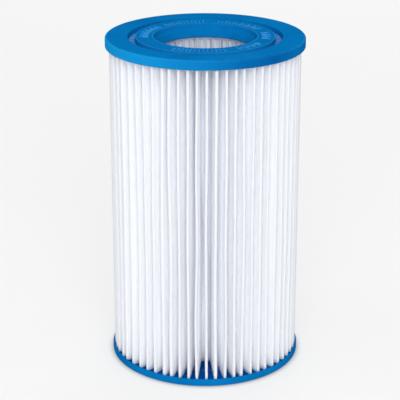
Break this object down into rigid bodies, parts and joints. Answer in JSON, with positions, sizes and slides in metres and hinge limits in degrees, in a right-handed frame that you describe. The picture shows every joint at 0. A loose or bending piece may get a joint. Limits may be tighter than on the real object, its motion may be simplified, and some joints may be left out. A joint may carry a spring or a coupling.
{
  "type": "filter cartridge",
  "caption": "Cylindrical pleated filter cartridge with a blue ring cap at each end, a white slotted core and an open bore right through.",
  "frame": {"origin": "centre of the bottom cap's outer face, on the cartridge's axis", "axes": "+Z along the bore's axis, from the bottom cap to the top cap; +Y towards the pleat that carries the media's seam"},
  "size_m": [0.108, 0.108, 0.1835],
  "materials": {
    "cap_blue": "moulded, semi-matt blue",
    "media_white": "spun-bonded polyester sheet, matt white",
    "core_white": "moulded polypropylene, satin white",
    "bead_clear": "cloudy hot-melt adhesive"
  },
  "bodies": {
    "root": {"top_end_cap": "cap_blue", "bottom_end_cap": "cap_blue", "pleated_media": "media_white", "core_tube": "core_white", "seam_bead": "bead_clear"}
  },
  "joints": []
}
